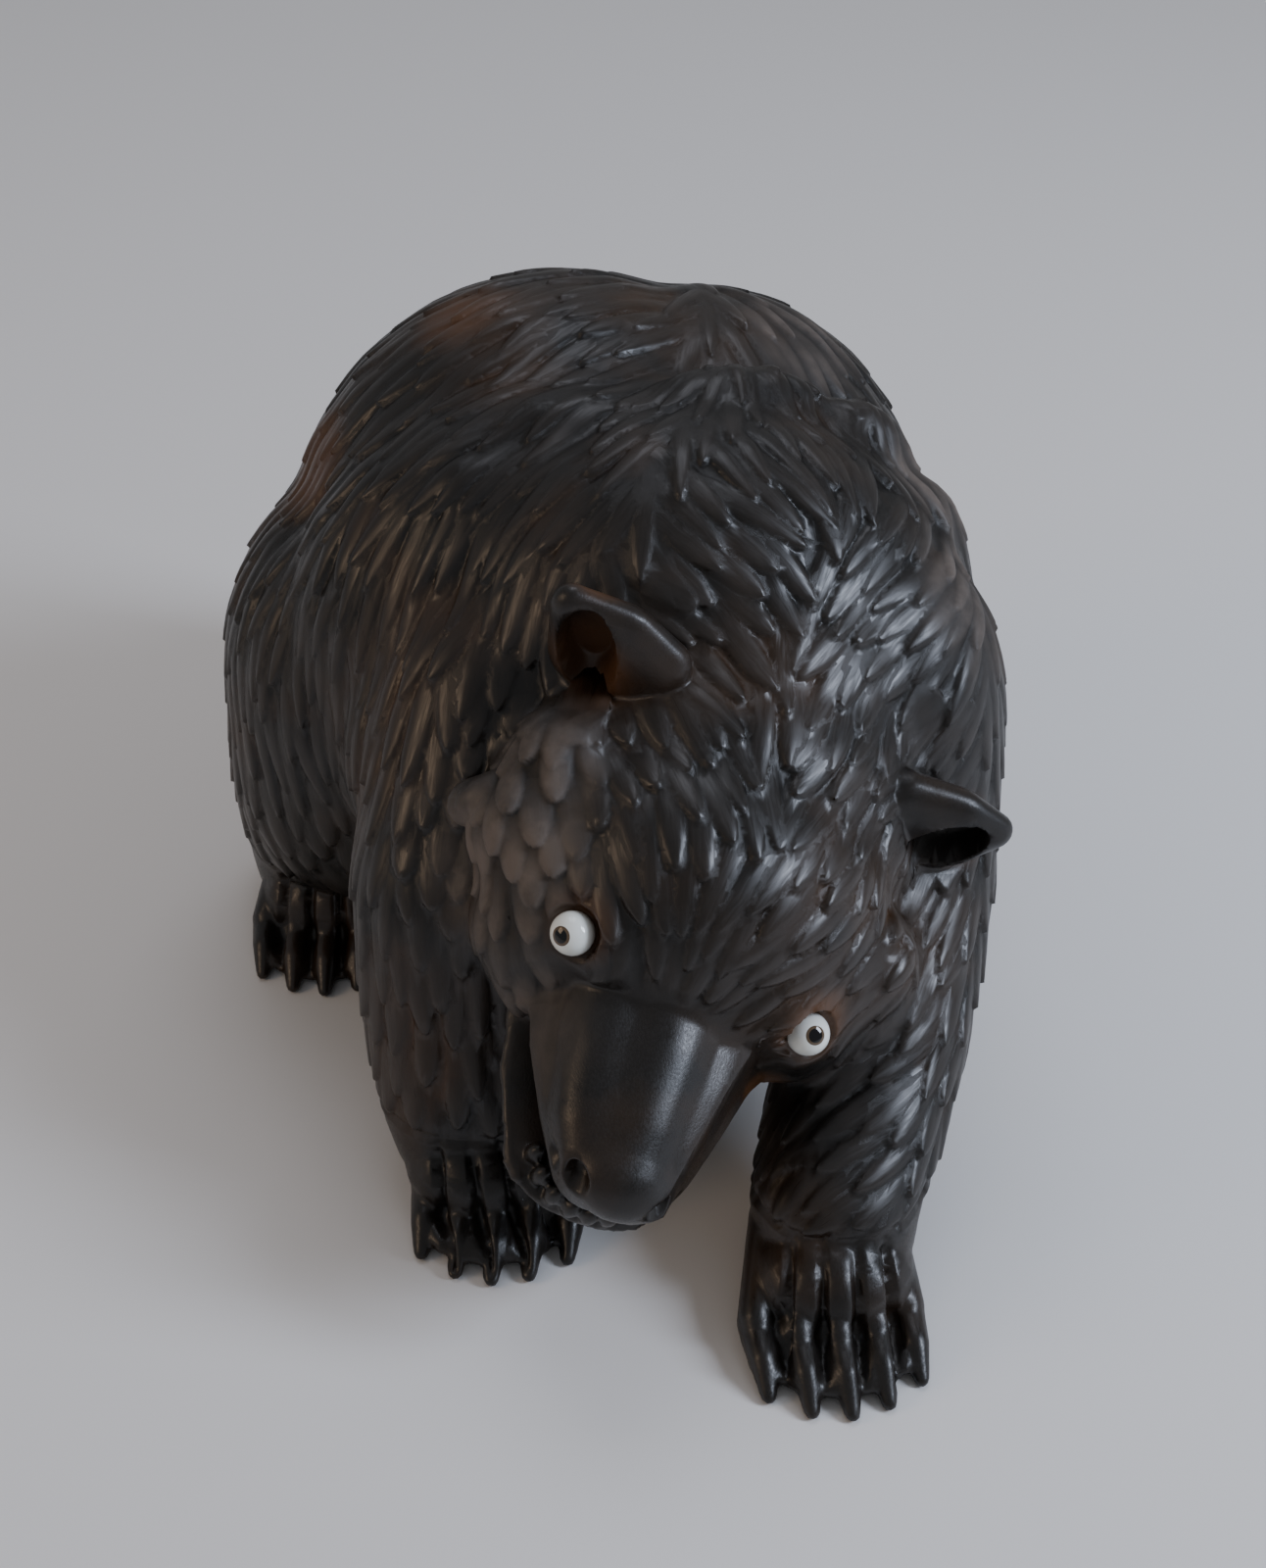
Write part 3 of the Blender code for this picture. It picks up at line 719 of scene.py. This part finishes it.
front = ease((MUZZLE_BACK - local[:, 1]) / 4) * ease((local[:, 2] - LIP_LINE) / 1.5)
front *= np.linalg.norm(local - np.array(MUZZLE_MIDDLE), axis=1) < MUZZLE_REACH
for first, second, third in MUZZLE_PLANES:
    first, second, third = (np.array(corner, float) for corner in (first, second, third))
    out = np.cross(second - first, third - first)
    out /= np.linalg.norm(out) * math.copysign(1, out[0] * first[0])
    proud = (local - first) @ out
    local -= out * (np.where(proud < PARED_MOST, np.clip(proud, 0, None), 0) * front)[:, None]
for side in (-1, 1):
    mirror = np.array((side, 1, 1))
    for place, radii, depth, way, lean in (NOSTRIL, NOSTRIL_SLIT):
        press(mirror * place, radii, depth, mirror * way, side * lean)
    middle = EYE_MIDDLE * mirror
    axis = EYE_AXIS * mirror
    axis /= np.linalg.norm(axis)
    depth = (local - middle) @ axis
    aside = np.linalg.norm(local - middle - depth[:, None] * axis, axis=1)
    drilled = ease((SOCKET_RADIUS + SOCKET_RIM - aside) / SOCKET_RIM) * (aside < 6)
    sink = np.clip(depth - SOCKET_FLOOR, 0, 5) * drilled
    local -= axis * sink[:, None]
for centre, half_width, half_height, lean, lip in EAR_CUPS:
    x, y, z = leaning(centre, lean)
    reach = np.sqrt((x / half_width) ** 2 + (z / half_height) ** 2)
    bottom = centre[1] + EAR_CUP_DEPTH * ease((1 - reach) * 2.2)
    in_ear = (reach < 1) & (y > -lip) & (y < EAR_CUP_DEPTH)
    local[:, 1] = np.where(in_ear, np.maximum(local[:, 1], bottom), local[:, 1])
drawn = on_frame(points, bear_frame)
# The second share is where grey lies thick on the crests: dust on the head, dust and painted highlight on
# the body
wear, dust_and_highlight = np.zeros(len(points)), np.zeros(len(points))
for shares, places, spots in (
    (wear, local, HEAD_WEAR), (wear, drawn, BODY_WEAR),
    (dust_and_highlight, local, HEAD_DUST), (dust_and_highlight, drawn, BODY_DUST_AND_HIGHLIGHT),
):
    for place, reach in spots:
        strength = ease(blob(places, place, (reach, reach, reach)) * SPOT_FADE)
        np.maximum(shares, strength, out=shares)
points = local @ np.array(head_axes)[:3, :3].T * MM + np.array(head_frame.translation)


# The paws
# Five long toes a paw, parted by deep V cuts that run up to the wrist, where a shallow crease goes
# round each leg and the coat ends.
TOE_CUT_DEPTH = 1.7
TOE_CUT_HALF = 1.1
PAW_REACH = 24
WRIST_CREASE_HEIGHT = 15.4
WRIST_CREASE_HALF = 1.1
WRIST_CREASE_DEPTH = 0.7
drawn = on_frame(points, bear_frame)
for wrist, knuckles, half_width, heading in PAWS.values():
    turn = math.radians(heading)
    ahead = np.array((math.sin(turn), -math.cos(turn), 0))
    aside = np.array((math.cos(turn), math.sin(turn), 0))
    offset = drawn - np.array(wrist)
    stride = np.array(knuckles) - np.array(wrist)
    run = offset @ ahead / (stride @ ahead + 2)
    level = ease((drawn[:, 2] - 0.8) / 1.2) * ease((16 - drawn[:, 2]) / 5) * ease((run + 0.2) * 1.4)
    for gap in range(TOE_COUNT - 1):
        place = (gap + 0.5) * 2 / (TOE_COUNT - 1) - 1
        line = half_width * place * (0.66 + 0.26 * np.clip(run, 0, 1)) + stride @ aside * run
        cut = np.clip(1 - np.abs(offset @ aside - line) / TOE_CUT_HALF, 0, 1)
        near_paw = ease((PAW_REACH - np.linalg.norm(offset, axis=1)) / 4)
        points -= normals * (TOE_CUT_DEPTH * MM * cut * level * near_paw)[:, None]
crease = np.clip(1 - np.abs(drawn[:, 2] - WRIST_CREASE_HEIGHT) / WRIST_CREASE_HALF, 0, 1)
points -= normals * (WRIST_CREASE_DEPTH * MM * crease)[:, None]
points[:, 2] = np.maximum(points[:, 2], 0)
bear.data.vertices.foreach_set("co", points.astype(np.float32).ravel())
bear.data.update()

# The finished skin is thinned where it is plain, and keeps the sharp creases
BEAR_TRIANGLES = 195000
carved = points.copy()
bear.data.calc_loop_triangles()
thin = bear.modifiers.new("thin", "DECIMATE")
thin.ratio = BEAR_TRIANGLES / len(bear.data.loop_triangles)
thin.use_collapse_triangulate = True
settle(bear)

# Where the stain is rubbed, where dust and painted highlight lie and which way each lock was cut goes
# onto the mesh
tree = KDTree(len(carved))
for number, place in enumerate(carved):
    tree.insert(place, number)
tree.balance()
nearest = np.array([tree.find(vertex.co)[1] for vertex in bear.data.vertices])
for name, values in (("crest", crest), ("coat", share), ("wear", wear), ("dust_and_highlight", dust_and_highlight)):
    layer = bear.data.attributes.new(name, "FLOAT", "POINT")
    layer.data.foreach_set("value", values[nearest].astype(np.float32))
layer = bear.data.attributes.new("on_lock", "FLOAT_VECTOR", "POINT")
layer.data.foreach_set("vector", on_lock[nearest].astype(np.float32).ravel())
bear.data.shade_smooth()

# Ebonised hardwood: stained black and waxed, so it is near black with a cool satin sheen, brown
# where the stain is thin or worn, and dull grey on the tops of the locks: partly dust that has settled
# there, and partly a painted highlight of light catching the crests, thin on every lock and thicker on
# the tops of the back.
# Each lock keeps the fine lines that the gouge's edge drew along it, and bare wood shows its grain.
# The lines and the grain are drawn a little coarser than they are, so that they show.
EBONY = linear("0e0c0a")
BARE_BROWN = linear("3a2716")
WORN_BROWN = linear("5c3a1d")
# Grey for the tops of the locks: part dust, part painted highlight
CREST_DUST_AND_HIGHLIGHT = linear("6a5f57")
# How wide the patches of thin stain and of dust and painted highlight, the gouge's lines and the grain are
STAIN_PATCH = 23.81 * MM
DUST_AND_HIGHLIGHT_PATCH = 16.667 * MM
GOUGE_LINE = 0.35 * MM
GRAIN_WIDTH = 0.25 * MM
GRAIN_LENGTH = 5 * MM
MARK_DEPTH = 0.08 * MM
WAX_IOR = 1.46
DUST_ROUGHNESS = 0.62
wood, tree_nodes, shader = new_material("ebonised_hardwood")
spot = add_node(tree_nodes, "ShaderNodeTexCoord").outputs["Object"]
crest_share = add_node(tree_nodes, "ShaderNodeAttribute", {"attribute_name": "crest"}).outputs["Fac"]
coat = add_node(tree_nodes, "ShaderNodeAttribute", {"attribute_name": "coat"}).outputs["Fac"]
rubbed = add_node(tree_nodes, "ShaderNodeAttribute", {"attribute_name": "wear"}).outputs["Fac"]
dust_and_highlight_place = add_node(tree_nodes, "ShaderNodeAttribute", {"attribute_name": "dust_and_highlight"}).outputs["Fac"]
cut_place = add_node(tree_nodes, "ShaderNodeAttribute", {"attribute_name": "on_lock"}).outputs["Vector"]
patches = add_node(
    tree_nodes, "ShaderNodeTexNoise", None, {"Scale": 1 / STAIN_PATCH, "Detail": 5.0}, {"Vector": spot}
)
thin_stain = add_node(
    tree_nodes, "ShaderNodeMapRange", None, {"From Min": 0.48, "From Max": 0.68, "To Max": 0.8},
    {"Value": patches.outputs["Fac"]},
)
hollow = add_node(
    tree_nodes, "ShaderNodeMapRange", None, {"To Min": 1.3, "To Max": 0.45}, {"Value": crest_share}
)
brown_hollow = add_node(
    tree_nodes, "ShaderNodeMath", {"operation": "MULTIPLY"}, None,
    {0: thin_stain.outputs["Result"], 1: hollow.outputs["Result"]},
)
stain = add_node(
    tree_nodes, "ShaderNodeMix", {"data_type": "RGBA"}, {"A": EBONY, "B": BARE_BROWN},
    {"Factor": brown_hollow.outputs[0]},
)
patchy_wear = add_node(
    tree_nodes, "ShaderNodeMath", {"operation": "MULTIPLY"}, None, {0: rubbed, 1: patches.outputs["Fac"]}
)
worn = add_node(
    tree_nodes, "ShaderNodeMix", {"data_type": "RGBA"}, {"B": WORN_BROWN},
    {"Factor": patchy_wear.outputs[0], "A": stain.outputs["Result"]},
)
# The grey on the crests comes in patches: a thin painted highlight on every crest, and thick grey in the
# marked spots, which is dust on the head and dust with painted highlight on the body
dust_and_highlight_patches = add_node(
    tree_nodes, "ShaderNodeTexNoise", None, {"Scale": 1 / DUST_AND_HIGHLIGHT_PATCH, "Detail": 6.0, "Roughness": 0.65},
    {"Vector": spot},
)
dust_and_highlight_lie = add_node(
    tree_nodes, "ShaderNodeMapRange", None,
    {"From Min": 0.35, "From Max": 0.65, "To Min": 0.15, "To Max": 0.85},
    {"Value": dust_and_highlight_patches.outputs["Fac"]},
)
high_crest = add_node(
    tree_nodes, "ShaderNodeMath", {"operation": "POWER"}, {1: 2.0}, {0: crest_share}
)
crest_dust_and_highlight = add_node(
    tree_nodes, "ShaderNodeMath", {"operation": "MULTIPLY"}, None,
    {0: high_crest.outputs[0], 1: dust_and_highlight_lie.outputs["Result"]},
)
thin_dust_and_highlight = add_node(
    tree_nodes, "ShaderNodeMath", {"operation": "MULTIPLY"}, {1: 0.16}, {0: crest_dust_and_highlight.outputs[0]}
)
thick_dust_and_highlight = add_node(
    tree_nodes, "ShaderNodeMapRange", None, {"From Max": 0.7, "To Min": 0.06, "To Max": 0.80},
    {"Value": crest_dust_and_highlight.outputs[0]},
)
dust_and_highlight_share = add_node(
    tree_nodes, "ShaderNodeMix", {"data_type": "FLOAT"}, None,
    {"Factor": dust_and_highlight_place, "A": thin_dust_and_highlight.outputs[0], "B": thick_dust_and_highlight.outputs["Result"]},
)
colour = add_node(
    tree_nodes, "ShaderNodeMix", {"data_type": "RGBA"}, {"B": CREST_DUST_AND_HIGHLIGHT},
    {"Factor": dust_and_highlight_share.outputs["Result"], "A": worn.outputs["Result"]},
)
tree_nodes.links.new(colour.outputs["Result"], shader.inputs["Base Color"])
gouge_lines = add_node(
    tree_nodes, "ShaderNodeMapping", {"vector_type": "TEXTURE"},
    {"Scale": (12 * GOUGE_LINE, GOUGE_LINE, GOUGE_LINE)}, {"Vector": cut_place},
)
lines = add_node(
    tree_nodes, "ShaderNodeTexNoise", None, {"Scale": 1.0, "Detail": 3.0},
    {"Vector": gouge_lines.outputs[0]},
)
wood_grain = add_node(
    tree_nodes, "ShaderNodeMapping", {"vector_type": "TEXTURE"},
    {"Scale": (GRAIN_WIDTH, GRAIN_LENGTH, GRAIN_WIDTH)}, {"Vector": spot},
)
grain = add_node(
    tree_nodes, "ShaderNodeTexNoise", None, {"Scale": 1.0, "Detail": 4.0},
    {"Vector": wood_grain.outputs[0]},
)
marks = add_node(
    tree_nodes, "ShaderNodeMix", {"data_type": "FLOAT"}, None,
    {"Factor": coat, "A": grain.outputs["Fac"], "B": lines.outputs["Fac"]},
)
gloss = add_node(
    tree_nodes, "ShaderNodeMapRange", None,
    {"From Min": 0.3, "From Max": 0.7, "To Min": 0.27, "To Max": 0.46},
    {"Value": marks.outputs["Result"]},
)
dulled = add_node(
    tree_nodes, "ShaderNodeMix", {"data_type": "FLOAT"}, {"B": DUST_ROUGHNESS},
    {"Factor": dust_and_highlight_place, "A": gloss.outputs["Result"]},
)
tree_nodes.links.new(dulled.outputs["Result"], shader.inputs["Roughness"])
bump = add_node(
    tree_nodes, "ShaderNodeBump", None, {"Strength": 0.30, "Distance": MARK_DEPTH},
    {"Height": marks.outputs["Result"]},
)
tree_nodes.links.new(bump.outputs["Normal"], shader.inputs["Normal"])
shader.inputs["IOR"].default_value = WAX_IOR
bear.data.materials.clear()
bear.data.materials.append(wood)
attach(bear, "root")
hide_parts("carved_bear")


# The eyes
# Round beads of opaque white glass with a dark pupil fused in, glued into drilled sockets. They stand
# a little out of the head.
PUPIL_ANGLE = math.radians(20.0)
RIM_ANGLE = math.radians(25.0)
EYE_RINGS = 48
EYE_SIDES = 48
# Which way each pupil looks
EYE_LOOKS = {
    "right_eye": (-0.58, -0.69, 0.43),
    "left_eye": (0.23, -0.80, 0.56),
}
# Opaque soda glass, smoothed by the flame, which gives each bead a hard bright glint. A thin ring of
# brown glass parts the white from the black pupil.
glass_parts = {}
for name, colour_hex, roughness in (
    ("white_glass", "e4e6e0", 0.06),
    ("pupil_rim_glass", "5b4a38", 0.08),
    ("black_glass", "08080a", 0.05),
):
    glass, _, glass_shader = new_material(name)
    glass_shader.inputs["Base Color"].default_value = linear(colour_hex)
    glass_shader.inputs["Roughness"].default_value = roughness
    glass_shader.inputs["IOR"].default_value = 1.5
    glass_parts[name] = glass

for node, gaze in EYE_LOOKS.items():
    low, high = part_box(node)
    radius = (high.z - low.z) / 2
    bead = bmesh.new()
    bmesh.ops.create_uvsphere(bead, u_segments=EYE_SIDES, v_segments=EYE_RINGS, radius=radius)
    for face in bead.faces:
        angle = face.calc_center_median().angle(Vector((0, 0, 1)))
        face.material_index = 2 if angle < PUPIL_ANGLE else 1 if angle < RIM_ANGLE else 0
        face.smooth = True
    aim = Vector(gaze).to_track_quat("Z", "Y").to_matrix().to_4x4()
    bead.transform(Matrix.Translation((low + high) / 2) @ aim)
    bead_mesh = bpy.data.meshes.new(node + "_bead")
    bead.to_mesh(bead_mesh)
    bead.free()
    for part in ("white_glass", "pupil_rim_glass", "black_glass"):
        bead_mesh.materials.append(glass_parts[part])
    eye = bpy.data.objects.new(node + "_bead", bead_mesh)
    bpy.context.scene.collection.objects.link(eye)
    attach(eye, "root")
    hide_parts(node)

low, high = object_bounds()
